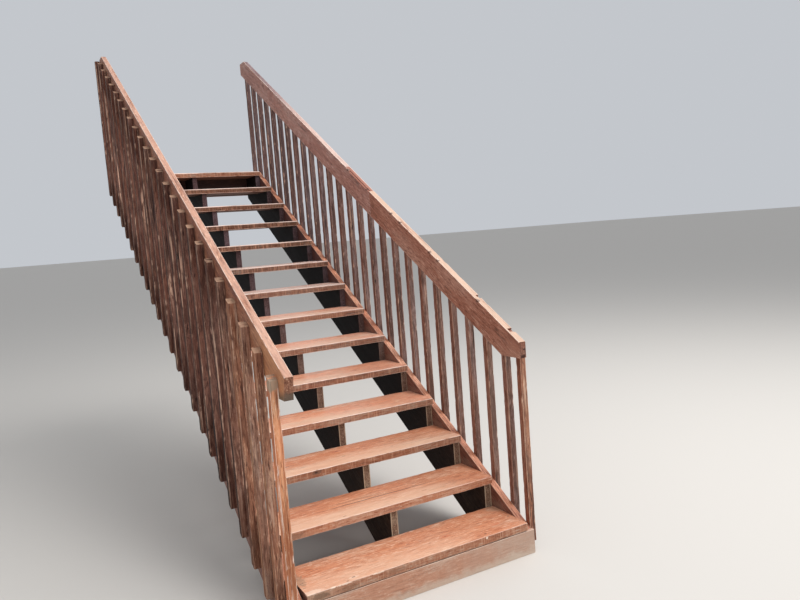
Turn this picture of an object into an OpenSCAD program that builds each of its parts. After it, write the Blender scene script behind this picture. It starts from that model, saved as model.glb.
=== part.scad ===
// Straight flight of wooden deck stairs with open risers.
// Thirteen board treads and a top board sit on three cut stringers between two
// skirt boards. Each side has a sloping board rail carried by square balusters.
// The sloping boards are eased bars that are cut plumb and level at their ends.
// X runs across the flight to the right, Y runs up the flight, Z is up, in mm.
// Pieces are drawn from the bottom tread's front left corner at ground level, and
// the last module brings the flight to its origin on the top header's back face.

/* [Flight] */
// Number of treads below the top board
tread_count = 13; // [8:1:14]
// Height from one tread top to the next
rise = 160; // [150:1:175]
// Length along Y from one nosing to the next
run_length = 270; // [255:1:285]
// Length of a tread between the two skirt boards
tread_length = 1143; // [900:1:1300]
// How far a nosing stands forward of the riser cut of the stringers
nosing = 20; // [15:1:30]
// Gap left behind a tread in front of the next riser cut
back_gap = 4; // [2:1:8]

/* [Boards] */
// Thickness of treads, stringers, skirts, rails and header
board = 38; // [34:1:44]
// Radius of the eased long edges of treads, skirts and rails
ease = 4; // [2:0.5:6]
// Width of the stringer and skirt boards, square to their edges
wide_board = 286; // [270:1:300]
// Height of the top header board
header_depth = 156; // [130:1:180]
// How far the header stands up behind the top board
header_rise = 8; // [4:1:20]
// Gap between the left ends of the treads and the left skirt
left_gap = 8; // [0:1:20]
// Vertical drop of the skirt top edge below the nosing line
skirt_drop = 54; // [45:1:70]
// Gap between the bottom riser board and the tread over it
riser_gap = 3; // [1:1:6]

/* [Guards] */
// Width of the rail boards, square to their edges
rail_board = 140; // [120:1:160]
// Height of the right rail top edge over the bottom nosing
rail_height_right = 899; // [820:1:960]
// How much the lower right rail board nears the nosing line up to the joint
rail_fall_right = 15; // [0:1:40]
// How much the upper right rail board leaves the nosing line from the joint up
rail_lift_right = 5; // [0:1:30]
// Height of the left rail top edge over the bottom nosing
rail_height_left = 981; // [900:1:1000]
// How much the left rail nears the nosing line up to its upper end
rail_fall_left = 110; // [0:1:120]
// Distance of the right rail's lower end forward of the bottom nosing
rail_end_right = 20; // [0:1:60]
// Distance of the left rail's lower end forward of the bottom nosing
rail_end_left = 98; // [20:1:120]
// Height of the plumb cut at the lower end of the right rail
plumb_right = 78; // [60:1:90]
// Height of the plumb cut at the lower end of the left rail
plumb_left = 95; // [80:1:110]
// How far the left rail's end cut leans back at its lower edge
end_lean_left = 19; // [0:1:30]
// Distance of the right rail's joint behind the first baluster of the middle group
joint_behind = 18; // [5:1:60]
// Distance of the rails' upper ends before the header's back face
rail_end_top = 46; // [20:1:80]
// Length of each small notch in the top edge of the right rail
notch_length = 30; // [15:1:45]
// Depth of the small notches
notch_depth = 11; // [5:1:18]
// Length of the strip planed off the inner top edge of the upper right rail board
shave_length = 315; // [200:1:400]
// Side of the square balusters on the right
baluster_right = 35; // [30:1:38]
// Side of the square balusters on the left
baluster_left = 38; // [32:1:42]
// Distance of the uppermost balusters' front face before the header's back face
baluster_end = 59; // [45:1:90]
// Number of balusters on the right
right_count = 26; // [20:1:30]
// Number of balusters on the left
left_count = 25; // [20:1:30]
// Radius of the eased edges of the balusters
baluster_ease = 2; // [1:0.5:4]
// Height of the baluster heads over the nosing line
baluster_head = 920; // [860:1:950]
// Least drop of a baluster head below the rail top edge
baluster_drop = 45; // [35:1:60]
// Depth of the baluster feet below the nosing line
baluster_foot = 305; // [270:1:330]
// Height of the lowest baluster feet over the ground
foot_clear = 45; // [20:1:60]

/* [Hidden] */
// Slope of the flight
slope = rise / run_length;
tilt = atan(slope);
// Vertical depth of the wide sloping boards
wide_drop = wide_board / cos(tilt);
// Tread and header places
tread_depth = run_length + nosing - back_gap;
deck_top = (tread_count + 1) * rise;
header_front = tread_count * run_length + tread_depth;
header_back = header_front + board;
header_top = deck_top - board + header_rise;
// Outer faces of the left and right skirt
left_skirt = -left_gap - board;
right_face = tread_length + board;
// Height of the stringer's uncut edge under the nosing line
cut_line = board + nosing * slope;
// Baluster numbers at which the middle and the upper group start
low_group = 9;
mid_group = 18;
// Right and left baluster places up the run
first_right = 28;
second_right = 145;
first_left = -26;
second_left = 132;
last_baluster = header_back - baluster_end;
// Joint between the two right rail boards up the run
rail_joint = baluster_y(low_group, first_right, second_right, right_count)
  + baluster_right + joint_behind;
// Plumb cut and level cut at the rails' upper ends
rail_top_end = header_back - rail_end_top;
level_cut = 66;
// Drop of the top baluster heads below the rails' level cuts
cap_drop = 14;
// Level below every rail, so that a rail has no level cut at a joint
no_cut = 0;
// Places of the two notches in the right rail
notch_a = 78;
notch_b = 310;
// Share of the edge thickness that a notch takes
notch_share = 0.5;
// Size of the planed strip across and down
shave_width = 12;
shave_depth = 8;
// Overlap of a cutting solid past a face
over = 5;
// Steps around a full circle of an eased edge
$fn = 24;

// Colours of the wood
stain = [0.62, 0.38, 0.27];
worn = [0.72, 0.50, 0.40];
aged = [0.45, 0.36, 0.31];
dark = [0.38, 0.24, 0.20];

// Height of the nosing line at a place up the run
function nosing_line(y) = rise + slope * y;

// Top edge of the left rail at a place up the run
function left_top(y) = nosing_line(y) + rail_height_left - rail_fall_left * y / header_back;

// Top edge of the lower right rail board
function low_right_top(y) = nosing_line(y) + rail_height_right - rail_fall_right * y / rail_joint;

// Top edge of the upper right rail board
function high_right_top(y) = nosing_line(y) + rail_height_right - rail_fall_right
  + rail_lift_right * (y - rail_joint) / (header_back - rail_joint);

// Top edge of the right rail, lower and upper board together
function right_top(y) = y < rail_joint ? low_right_top(y) : high_right_top(y);

// Top edge of the rail on one side
function rail_top(y, on_left) = on_left ? left_top(y) : right_top(y);

// Level of the cut at the rail's upper end on one side
function rail_roof(on_left) = rail_top(rail_top_end, on_left) - level_cut;

// Place of one baluster up the run, counted from zero at the bottom
function baluster_y(i, first, second, count) =
  i == 0 ? first : second + (i - 1) * (last_baluster - second) / (count - 2);

// Height of a baluster's foot and head at a place up the run
function foot_at(y) = max(foot_clear, nosing_line(y) - baluster_foot);
function head_at(y, on_left) = min(nosing_line(y) + baluster_head,
  rail_top(y, on_left) - baluster_drop, rail_roof(on_left) - cap_drop);

// Flat profile in the run and height plane made into a board across X
module board_across(x0, thick, outline) {
  translate([x0 + thick, 0, 0])
    rotate([90, 0, -90])
      linear_extrude(height = thick)
        polygon([for (p = outline) [-p[0], p[1]]]);
}

// Board section with its four long edges eased
module eased_section(wide, deep, radius) {
  translate([radius, 0])
    square([wide - 2 * radius, deep]);
  translate([0, radius])
    square([wide, deep - 2 * radius]);
  for (x = [radius, wide - radius])
    for (y = [radius, deep - radius])
      translate([x, y])
        circle(r = radius);
}

// Board that lies across the flight from x0, its lower front corner at y and z
module lying_board(x0, y, z, length, deep, thick, radius) {
  translate([x0, y, z])
    rotate([90, 0, 90])
      linear_extrude(height = length)
        eased_section(deep, thick, radius);
}

// One tread board, counted from zero at the bottom
module tread_at(k) {
  color(worn)
    lying_board(0, k * run_length, (k + 1) * rise - board, tread_length, tread_depth, board, ease);
}

// Board cut like a saw, with a riser and a seat for each tread
module stringer_at(x0) {
  foot = [nosing, 0];
  steps = [for (k = [0 : tread_count - 1])
    for (c = [0 : 1])
      c == 0 ? [k * run_length + nosing, (k + 1) * rise - board]
             : [(k + 1) * run_length + nosing, (k + 1) * rise - board]];
  top_riser = [tread_count * run_length + nosing, deck_top - board];
  top_back = [header_front, deck_top - board];
  low_back = [header_front, nosing_line(header_front) - cut_line - wide_drop];
  heel = [(wide_drop + cut_line - rise) / slope, 0];
  color(aged)
    board_across(x0, board, concat([foot], steps, [top_riser, top_back, low_back, heel]));
}

// Sloping board between two places of its top edge, low = [y, z] and high = [y, z].
// It is cut at both ends, level with the floor and roof heights that are given,
// and its lower end cut leans back by the angle lean.
module sloping_board(x0, width, low, high, floor_z, roof_z, lean) {
  angle = atan((high[1] - low[1]) / (high[0] - low[0]));
  tail = width * tan(angle) + over;
  length = (high[0] - low[0]) / cos(angle) + 2 * tail;
  reach = 2 * width;
  slab = board + 2 * over;
  difference() {
    translate([x0, low[0], low[1]])
      rotate([angle, 0, 0])
        translate([0, length - tail, -width])
          rotate([90, 0, 0])
            linear_extrude(height = length)
              eased_section(board, width, ease);
    // lower end cut
    translate([x0 - over, low[0], low[1]])
      rotate([lean, 0, 0])
        translate([0, -reach, -reach])
          cube([slab, reach, 2 * reach]);
    // level cut under the lower end
    translate([x0 - over, low[0] - reach, floor_z - reach])
      cube([slab, 2 * reach, reach]);
    // plumb upper end cut
    translate([x0 - over, high[0], high[1] - reach])
      cube([slab, reach, 2 * reach]);
    // level cut over the upper end
    translate([x0 - over, high[0] - reach, roof_z])
      cube([slab, 2 * reach, reach]);
  }
}

// Sloping outer board that covers the tread ends
module skirt_at(x0) {
  color(stain)
    sloping_board(x0, wide_board,
      [nosing, nosing_line(nosing) - skirt_drop],
      [header_back, nosing_line(header_back) - skirt_drop], 0, deck_top, 0);
}

// Cutter for one small notch in the outer half of the right rail's top edge
module rail_notch(y) {
  translate([right_face - board * notch_share, y, right_top(y)])
    rotate([tilt, 0, 0])
      translate([0, 0, -notch_depth])
        cube([board, notch_length, notch_depth + over]);
}

// Cutter for the planed strip on the inner part of the right rail's top edge
module rail_shave(y) {
  translate([tread_length - over, y, high_right_top(y)])
    rotate([tilt, 0, 0])
      translate([0, -over, -shave_depth])
        cube([shave_width + over, shave_length + over, shave_depth + over]);
}

// Square baluster with eased edges, its foot and head cut along the slope
module baluster_at(x0, y, side, on_left) {
  back = y + side;
  outline = [[y, foot_at(y)], [back, foot_at(back)],
    [back, head_at(back, on_left)], [y, head_at(y, on_left)]];
  intersection() {
    translate([x0, y, 0])
      linear_extrude(height = head_at(back, on_left) + over)
        eased_section(side, side, baluster_ease);
    board_across(x0 - over, side + 2 * over, outline);
  }
}

module left_balusters(from_i, to_i) {
  color(aged)
    for (i = [from_i : to_i])
      baluster_at(left_skirt - baluster_left, baluster_y(i, first_left, second_left, left_count),
        baluster_left, true);
}

module right_balusters(from_i, to_i) {
  color(aged)
    for (i = [from_i : to_i])
      baluster_at(right_face, baluster_y(i, first_right, second_right, right_count),
        baluster_right, false);
}

module top_board() {
  tread_at(tread_count);
}

module stringer_left() {
  stringer_at(-left_gap);
}

module stringer_middle() {
  stringer_at((tread_length - board) / 2);
}

module stringer_right() {
  stringer_at(tread_length - board);
}

module skirt_left() {
  skirt_at(left_skirt);
}

module skirt_right() {
  skirt_at(tread_length);
}

// Board that closes the first step over the ends of skirts and stringers
module bottom_riser() {
  color(stain)
    lying_board(left_skirt, 0, 0, right_face - left_skirt, nosing,
      rise - board - riser_gap, baluster_ease);
}

// Board across the top between the skirts, fixed to the deck at its back face
module top_header() {
  color(dark)
    translate([-left_gap, header_front, header_top - header_depth])
      cube([tread_length + left_gap, board, header_depth]);
}

module rail_left() {
  low = [-rail_end_left, left_top(-rail_end_left)];
  high = [rail_top_end, left_top(rail_top_end)];
  color(stain)
    sloping_board(left_skirt, rail_board, low, high, low[1] - plumb_left,
      rail_roof(true), atan(end_lean_left / plumb_left));
}

module rail_right_lower() {
  low = [-rail_end_right, right_top(-rail_end_right)];
  high = [rail_joint, low_right_top(rail_joint)];
  color(stain)
    difference() {
      sloping_board(tread_length, rail_board, low, high, low[1] - plumb_right, high[1] + over, 0);
      rail_notch(notch_a);
      rail_notch(notch_b);
    }
}

module rail_right_upper() {
  low = [rail_joint, high_right_top(rail_joint)];
  high = [rail_top_end, right_top(rail_top_end)];
  color(stain)
    difference() {
      sloping_board(tread_length, rail_board, low, high, no_cut, rail_roof(false), 0);
      rail_shave(rail_joint);
    }
}

// Brings the flight to its origin on the header's back face, midway along the treads
module placed() {
  translate([-tread_length / 2, -header_back, header_depth / 2 - header_top])
    children();
}

placed() tread_at(0);  // tread_01
placed() tread_at(1);  // tread_02
placed() tread_at(2);  // tread_03
placed() tread_at(3);  // tread_04
placed() tread_at(4);  // tread_05
placed() tread_at(5);  // tread_06
placed() tread_at(6);  // tread_07
placed() tread_at(7);  // tread_08
placed() tread_at(8);  // tread_09
placed() tread_at(9);  // tread_10
placed() tread_at(10);  // tread_11
placed() tread_at(11);  // tread_12
placed() tread_at(12);  // tread_13
placed() top_board();
placed() stringer_left();
placed() stringer_middle();
placed() stringer_right();
placed() skirt_left();
placed() skirt_right();
placed() bottom_riser();
placed() top_header();
placed() rail_left();
placed() rail_right_lower();
placed() rail_right_upper();
placed() left_balusters(0, low_group - 1);  // balusters_left_lower
placed() left_balusters(low_group, mid_group - 1);  // balusters_left_middle
placed() left_balusters(mid_group, left_count - 1);  // balusters_left_upper
placed() right_balusters(0, low_group - 1);  // balusters_right_lower
placed() right_balusters(low_group, mid_group - 1);  // balusters_right_middle
placed() right_balusters(mid_group, right_count - 1);  // balusters_right_upper
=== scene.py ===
import bpy
import bmesh
import math
from mathutils import Euler, Matrix, Vector, noise


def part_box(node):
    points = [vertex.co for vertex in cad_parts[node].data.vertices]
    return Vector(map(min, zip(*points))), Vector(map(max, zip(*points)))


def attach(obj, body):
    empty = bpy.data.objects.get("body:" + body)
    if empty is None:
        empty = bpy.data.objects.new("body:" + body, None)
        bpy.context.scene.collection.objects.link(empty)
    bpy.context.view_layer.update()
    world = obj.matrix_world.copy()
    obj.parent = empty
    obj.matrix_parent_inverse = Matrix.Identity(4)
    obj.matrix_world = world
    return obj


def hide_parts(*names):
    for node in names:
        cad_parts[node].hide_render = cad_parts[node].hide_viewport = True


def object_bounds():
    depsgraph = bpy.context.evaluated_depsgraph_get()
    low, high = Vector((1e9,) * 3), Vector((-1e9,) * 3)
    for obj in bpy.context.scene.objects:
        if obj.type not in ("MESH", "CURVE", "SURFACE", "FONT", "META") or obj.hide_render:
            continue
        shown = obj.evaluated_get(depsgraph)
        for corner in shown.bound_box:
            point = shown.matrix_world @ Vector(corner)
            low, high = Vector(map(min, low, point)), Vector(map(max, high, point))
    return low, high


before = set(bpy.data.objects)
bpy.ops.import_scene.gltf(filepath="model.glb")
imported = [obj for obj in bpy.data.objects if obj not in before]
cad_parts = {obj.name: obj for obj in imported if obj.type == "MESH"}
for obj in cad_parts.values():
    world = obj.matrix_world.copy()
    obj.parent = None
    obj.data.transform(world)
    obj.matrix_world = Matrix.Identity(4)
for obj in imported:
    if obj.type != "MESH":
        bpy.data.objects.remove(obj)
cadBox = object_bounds()
print("frame loaded with", len(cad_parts), "boards and baluster groups")

treadCount = 13
groundLevel = cadBox[0].z
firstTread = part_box("tread_01")
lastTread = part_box("tread_13")
rise = (lastTread[0].z - firstTread[0].z) / (treadCount - 1)
runLength = (lastTread[0].y - firstTread[0].y) / (treadCount - 1)
flightTilt = math.degrees(math.atan2(rise, runLength))
frontCorner = Vector((firstTread[0].x, firstTread[0].y, groundLevel))

# in millimetres, for what is placed on the flight one by one
treadLength = 1000 * (firstTread[1].x - firstTread[0].x)
stepRise = 1000 * rise
stepRun = 1000 * runLength


def fromCorner(x, y, z):
    # millimetres from the bottom tread's front left corner at ground level
    return frontCorner + Vector((x, y, z)) / 1000


def spanX(a, b):
    # an axis and two places on it: across the flight, up its run, and up
    return 0, fromCorner(a, 0, 0).x, fromCorner(b, 0, 0).x


def spanY(a, b):
    return 1, fromCorner(0, a, 0).y, fromCorner(0, b, 0).y


def spanZ(a, b):
    return 2, fromCorner(0, 0, a).z, fromCorner(0, 0, b).z


# camera and stage

cameraShot = {
    "place": (-1.50023, -6.50925, -0.53350),
    "turn": (84.673, 4.3725, -29.106),
    "lens": 32.17,
    "sensor": 36.0,
    "clipEnd": 1000.0,
}


def addCamera():
    bpy.ops.object.camera_add(
        location=cameraShot["place"],
        rotation=[math.radians(a) for a in cameraShot["turn"]],
    )
    camera = bpy.context.object
    camera.name = "photoCamera"
    camera.data.sensor_width = cameraShot["sensor"]
    camera.data.lens = cameraShot["lens"]
    camera.data.clip_end = cameraShot["clipEnd"]
    bpy.context.scene.camera = camera


stageLook = {
    "floorSize": 600.0,
    "floor": (206, 201, 194),
    "floorRough": 0.9,
    "sky": (222, 226, 232),
    "skyStrength": 0.75,
}

lamps = [
    # the broad light from above, a little to the right and in front
    {"place": (3.2, -5.0, 5.2), "aim": (0.0, -2.2, -0.9), "size": 6.0, "power": 620.0},
    # weak fill from the camera's side
    {"place": (-3.0, -9.0, 1.2), "aim": (0.0, -2.5, -1.0), "size": 4.0, "power": 60.0},
]


def full(colour):
    # screen colour 0 to 255 to the linear one that shaders use
    steps = [c / 255.0 for c in colour]
    return (*(c / 12.92 if c <= 0.04045 else ((c + 0.055) / 1.055) ** 2.4 for c in steps), 1.0)


def addStage():
    bpy.ops.mesh.primitive_plane_add(size=stageLook["floorSize"], location=(0, 0, groundLevel))
    floor = bpy.context.object
    floor.name = "studioFloor"
    material = bpy.data.materials.new("studioFloor")
    material.use_nodes = True
    shader = material.node_tree.nodes["Principled BSDF"]
    shader.inputs["Base Color"].default_value = full(stageLook["floor"])
    shader.inputs["Roughness"].default_value = stageLook["floorRough"]
    floor.data.materials.append(material)

    world = bpy.data.worlds.new("studio")
    world.use_nodes = True
    background = world.node_tree.nodes["Background"]
    background.inputs["Color"].default_value = full(stageLook["sky"])
    background.inputs["Strength"].default_value = stageLook["skyStrength"]
    bpy.context.scene.world = world

    for lamp in lamps:
        place = Vector(lamp["place"])
        bpy.ops.object.light_add(type="AREA", location=place)
        light = bpy.context.object
        light.data.shape = "SQUARE"
        light.data.size = lamp["size"]
        light.data.energy = lamp["power"]
        light.rotation_euler = (Vector(lamp["aim"]) - place).to_track_quat("-Z", "Y").to_euler()
    bpy.context.scene.view_settings.view_transform = "Standard"


addCamera()
addStage()
print("camera and studio ready")


# small helpers for node trees

def feed(tree, source, socket):
    if isinstance(source, bpy.types.NodeSocket):
        tree.links.new(source, socket)
    elif source is not None:
        socket.default_value = source


def calc(tree, operation, *sources):
    node = tree.nodes.new("ShaderNodeMath")
    node.operation = operation
    for i, source in enumerate(sources):
        feed(tree, source, node.inputs[i])
    return node.outputs[0]


def times(tree, a, b):
    return calc(tree, "MULTIPLY", a, b)


def plus(tree, a, b):
    return calc(tree, "ADD", a, b)


def minus(tree, a, b):
    return calc(tree, "SUBTRACT", a, b)


def timesPlus(tree, a, b, c):
    return calc(tree, "MULTIPLY_ADD", a, b, c)


def vectorCalc(tree, operation, *sources):
    node = tree.nodes.new("ShaderNodeVectorMath")
    node.operation = operation
    for i, source in enumerate(sources):
        feed(tree, source, node.inputs[i])
    return node.outputs[1 if operation in ("LENGTH", "DOT_PRODUCT") else 0]


def fade(tree, value, low, high):
    # 0 at low, 1 at high, soft in between
    node = tree.nodes.new("ShaderNodeMapRange")
    node.interpolation_type = "SMOOTHSTEP"
    for i, source in enumerate((value, low, high)):
        feed(tree, source, node.inputs[i])
    return node.outputs[0]


def split(tree, vector):
    node = tree.nodes.new("ShaderNodeSeparateXYZ")
    tree.links.new(vector, node.inputs[0])
    return node.outputs


def join(tree, x, y, z):
    node = tree.nodes.new("ShaderNodeCombineXYZ")
    for i, source in enumerate((x, y, z)):
        feed(tree, source, node.inputs[i])
    return node.outputs[0]


def noiseAt(tree, vector, stretch, detail=3.0, rough=0.55):
    # stretch is in waves per metre along, across and through the board
    node = tree.nodes.new("ShaderNodeTexNoise")
    tree.links.new(vectorCalc(tree, "MULTIPLY", vector, stretch), node.inputs["Vector"])
    node.inputs["Scale"].default_value = 1.0
    node.inputs["Detail"].default_value = detail
    node.inputs["Roughness"].default_value = rough
    return node.outputs[0]


def swingAt(tree, vector, *waves):
    # noise to both sides of nought
    return minus(tree, noiseAt(tree, vector, *waves), 0.5)


def mixColour(tree, factor, a, b, blend="MIX"):
    node = tree.nodes.new("ShaderNodeMix")
    node.data_type = "RGBA"
    node.blend_type = blend
    feed(tree, factor, node.inputs[0])
    feed(tree, a, node.inputs[6])
    feed(tree, b, node.inputs[7])
    return node.outputs[2]


def newGroup(name, inputs, outputs):
    tree = bpy.data.node_groups.new(name, "ShaderNodeTree")
    for label, value in inputs.items():
        kind = "Vector"
        if isinstance(value, float):
            kind = "Float"
        elif value is not None:
            kind = "Color"
        socket = tree.interface.new_socket(
            name=label, in_out="INPUT", socket_type="NodeSocket" + kind
        )
        if value is not None:
            socket.default_value = value
    for label, kind in outputs.items():
        tree.interface.new_socket(name=label, in_out="OUTPUT", socket_type="NodeSocket" + kind)
    given = tree.nodes.new("NodeGroupInput")
    result = tree.nodes.new("NodeGroupOutput")
    return tree, given.outputs, result.inputs


def useGroup(tree, group, **values):
    node = tree.nodes.new("ShaderNodeGroup")
    node.node_tree = group
    for label, source in values.items():
        feed(tree, source, node.inputs[label])
    return node.outputs


# sawn wood: rings, streaks, fibres, flecks, knots and drying cracks in one group

grainInputs = {
    "Vector": None, "Seed": 0.0, "RingGap": 0.008, "PithDepth": 0.12, "Sway": 0.05, "KnotShare": 0.3,
    "Fine": 1.0,
}
grainWaves = {
    # waves per metre along, across and through the board, then detail and roughness
    "sway": ((1.3, 2.5, 2.5), 1.0),
    "pith": ((3.0, 9.0, 9.0), 2.0),
    "knotEdge": ((60, 60, 20), 2.0),
    "streak": ((2.4, 52, 52), 5.0, 0.62),
    "fibre": ((9, 210, 210), 3.0, 0.6),
    "dash": ((22, 140, 140), 3.0, 0.55),
    "speck": ((130, 210, 210), 2.0, 0.6),
    "saw": ((170, 9, 9), 3.0, 0.6),
    "patch": ((2.2, 7, 7), 4.0, 0.6),
    "crackLine": ((0.9, 30, 30), 2.0, 0.4),
    "crackPlace": ((2.4, 12, 12), 2.0),
}
knotShape = {
    # cells per metre, how far each cell is stretched, and the knot's own sizes in cells
    "cells": 4.2, "stretch": (0.8, 1.2, 0.3), "small": 0.018, "spread": 0.035, "wobble": 0.03,
    "core": 0.6, "swell": 0.20, "push": 0.02,
}
seedShift = (17.31, 5.13, 9.77)  # metres that one seed moves the pattern
pithAside = {"turn": 0.713, "spread": 0.24, "start": -0.26, "waver": 0.008}
ringShape = {"rise": (0.30, 0.88), "drop": (1.0, 0.90)}
crackShape = {"shift": (31.0, 17.0, 5.0), "width": (0.014, 0.004), "where": (0.53, 0.60)}
# how high each feature stands in the bump
relief = {"Ring": 0.25, "Fibre": 0.5, "Streak": 0.4, "Speck": 0.5, "Crack": -1.4, "Knot": 0.3}


def makeGrain():
    # place is shifted by the seed; bent also follows the sway and the knots
    tree, given, result = newGroup("sawnGrain", grainInputs, {
        "Ring": "Float", "Streak": "Float", "Fibre": "Float", "Dash": "Float", "Speck": "Float",
        "Saw": "Float", "Patch": "Float", "Knot": "Float", "Crack": "Float", "Height": "Float",
    })
    seed = given["Seed"]
    shift = join(tree, *(times(tree, seed, step) for step in seedShift))
    place = vectorCalc(tree, "MULTIPLY", given["Vector"], join(tree, 1.0, given["Fine"], given["Fine"]))
    place = vectorCalc(tree, "ADD", place, shift)

    # the grain sways a little on its way along the board
    sway = times(tree, swingAt(tree, place, *grainWaves["sway"]), given["Sway"])
    swayed = vectorCalc(tree, "ADD", place, join(tree, 0.0, sway, sway))

    # knots run through the thickness, so their cells are stretched that way
    cells = tree.nodes.new("ShaderNodeTexVoronoi")
    cells.inputs["Scale"].default_value = knotShape["cells"]
    tree.links.new(vectorCalc(tree, "MULTIPLY", place, knotShape["stretch"]), cells.inputs["Vector"])
    chance = split(tree, cells.outputs["Color"])
    size = timesPlus(tree, chance[1], knotShape["spread"], knotShape["small"])
    wobble = noiseAt(tree, place, *grainWaves["knotEdge"])
    wobble = timesPlus(tree, wobble, knotShape["wobble"], -knotShape["wobble"] / 2)
    reach = plus(tree, cells.outputs["Distance"], wobble)
    isKnot = calc(tree, "LESS_THAN", chance[0], given["KnotShare"])
    core = fade(tree, reach, size, times(tree, size, knotShape["core"]))
    core = times(tree, core, isKnot)
    swell = times(tree, fade(tree, reach, knotShape["swell"], 0.0), isKnot)

    # year rings round a pith line that lies under the board
    parts = split(tree, vectorCalc(tree, "ADD", given["Vector"], join(tree, 0.0, sway, sway)))
    aside = calc(tree, "FRACT", times(tree, seed, pithAside["turn"]))
    aside = timesPlus(tree, aside, pithAside["spread"], pithAside["start"])
    across = plus(tree, parts[1], aside)
    waver = noiseAt(tree, place, *grainWaves["pith"])
    across = timesPlus(tree, waver, pithAside["waver"], across)
    depth = plus(tree, parts[2], given["PithDepth"])
    radius = calc(tree, "SQRT", plus(tree, times(tree, across, across), times(tree, depth, depth)))
    radius = timesPlus(tree, swell, knotShape["push"], radius)
    ring = calc(tree, "FRACT", calc(tree, "DIVIDE", radius, given["RingGap"]))
    ring = times(tree, fade(tree, ring, *ringShape["rise"]), fade(tree, ring, *ringShape["drop"]))

    # the grain bends round each knot
    bent = join(tree, 0.0, times(tree, swell, knotShape["push"]), 0.0)
    bent = vectorCalc(tree, "ADD", swayed, bent)
    streak = noiseAt(tree, bent, *grainWaves["streak"])
    fibre = noiseAt(tree, bent, *grainWaves["fibre"])
    dash = noiseAt(tree, bent, *grainWaves["dash"])
    speck = noiseAt(tree, place, *grainWaves["speck"])
    saw = noiseAt(tree, place, *grainWaves["saw"])
    patch = noiseAt(tree, place, *grainWaves["patch"])

    # drying cracks: thin lines along the grain, only in some places
    line = calc(tree, "ABSOLUTE", swingAt(tree, swayed, *grainWaves["crackLine"]))
    where = vectorCalc(tree, "ADD", place, crackShape["shift"])
    where = fade(tree, noiseAt(tree, where, *grainWaves["crackPlace"]), *crackShape["where"])
    crack = times(tree, fade(tree, line, *crackShape["width"]), where)

    made = {
        "Ring": ring, "Fibre": fibre, "Streak": streak, "Speck": speck, "Crack": crack, "Knot": core,
        "Dash": dash, "Saw": saw, "Patch": patch,
    }
    height = times(tree, ring, relief["Ring"])
    for label, share in list(relief.items())[1:]:
        height = timesPlus(tree, made[label], share, height)
    for label, source in dict(made, Height=height).items():
        tree.links.new(source, result[label])
    return tree


knotHeart = (62, 36, 26)
knotStrength = 0.85
crackDark = (30, 19, 15)


def makeStain(grain):
    plain = (0.5, 0.5, 0.5, 1.0)
    tree, given, result = newGroup(
        "weatheredStain",
        dict(
            grainInputs, Stain=plain, Worn=plain, Pale=plain, Deep=plain, Grey=plain,
            WornShare=0.5, PaleShare=0.3, DeepShare=0.3, GreyShare=0.2, RingShare=0.4,
            DashShare=0.4, CrackShare=1.0, StreakShare=0.5, Rough=0.6,
        ),
        {"Color": "Color", "Roughness": "Float", "Height": "Float", "Streak": "Float", "Saw": "Float"},
    )
    made = useGroup(tree, grain, **{label: given[label] for label in grainInputs})

    def layer(colour, paint, mask, share):
        return mixColour(tree, times(tree, mask, share), colour, paint)

    def blend(weights):
        total = None
        for label, weight in weights.items():
            total = timesPlus(tree, made[label], weight, total or 0.0)
        return total

    # granular like a trodden board, or streaky like a planed one
    granular = blend({"Speck": 0.34, "Dash": 0.30, "Patch": 0.36})
    streaky = blend({"Streak": 0.50, "Fibre": 0.18, "Dash": 0.16, "Patch": 0.16})
    tone = timesPlus(tree, minus(tree, streaky, granular), given["StreakShare"], granular)
    light = blend({"Dash": 0.35, "Speck": 0.25, "Patch": 0.40})
    bare = blend({"Patch": 0.6, "Fibre": 0.2, "Speck": 0.2})
    colour = layer(given["Stain"], given["Worn"], fade(tree, tone, 0.45, 0.55), given["WornShare"])
    colour = layer(colour, given["Deep"], fade(tree, tone, 0.47, 0.39), given["DeepShare"])
    colour = layer(colour, given["Grey"], fade(tree, bare, 0.49, 0.57), given["GreyShare"])
    colour = layer(colour, given["Pale"], fade(tree, light, 0.52, 0.59), given["PaleShare"])
    colour = layer(colour, given["Deep"], made["Ring"], given["RingShare"])
    colour = layer(colour, given["Deep"], fade(tree, made["Dash"], 0.42, 0.34), given["DashShare"])
    colour = layer(colour, given["Pale"], fade(tree, made["Dash"], 0.60, 0.68), given["DashShare"])
    colour = layer(colour, full(knotHeart), made["Knot"], knotStrength)
    colour = layer(colour, full(crackDark), made["Crack"], given["CrackShare"])
    rough = timesPlus(tree, minus(tree, made["Streak"], 0.5), 0.3, given["Rough"])
    rough = timesPlus(tree, made["Knot"], -0.12, rough)
    tree.links.new(colour, result["Color"])
    tree.links.new(rough, result["Roughness"])
    tree.links.new(made["Height"], result["Height"])
    tree.links.new(made["Streak"], result["Streak"])
    tree.links.new(made["Saw"], result["Saw"])
    return tree


arrisShape = {"waves": ((16, 50, 50), 4.0, 0.6), "edge": (0.10, 0.45), "broken": (0.66, 0.48)}
markShape = {
    "bend": ((5, 5, 5), 2.0), "rag": ((90, 90, 90), 4.0, 0.65), "rim": (1.0, 0.6),
}


def makeArris():
    # worn light line on the eased long edges, partly a painted highlight where they catch the sky,
    # broken up along the board
    tree, given, result = newGroup(
        "arrisWearAndHighlight", {"Vector": None, "Normal": None, "Seed": 0.0, "Share": 0.6}, {"Mask": "Float"}
    )
    parts = split(tree, vectorCalc(tree, "ABSOLUTE", given["Normal"]))
    edge = calc(tree, "MINIMUM", parts[1], parts[2])
    spot = vectorCalc(tree, "ADD", given["Vector"], join(tree, given["Seed"], 0.0, 0.0))
    broken = fade(tree, noiseAt(tree, spot, *arrisShape["waves"]), *arrisShape["broken"])
    edge = times(tree, fade(tree, edge, *arrisShape["edge"]), broken)
    tree.links.new(times(tree, edge, given["Share"]), result["Mask"])
    return tree


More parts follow.
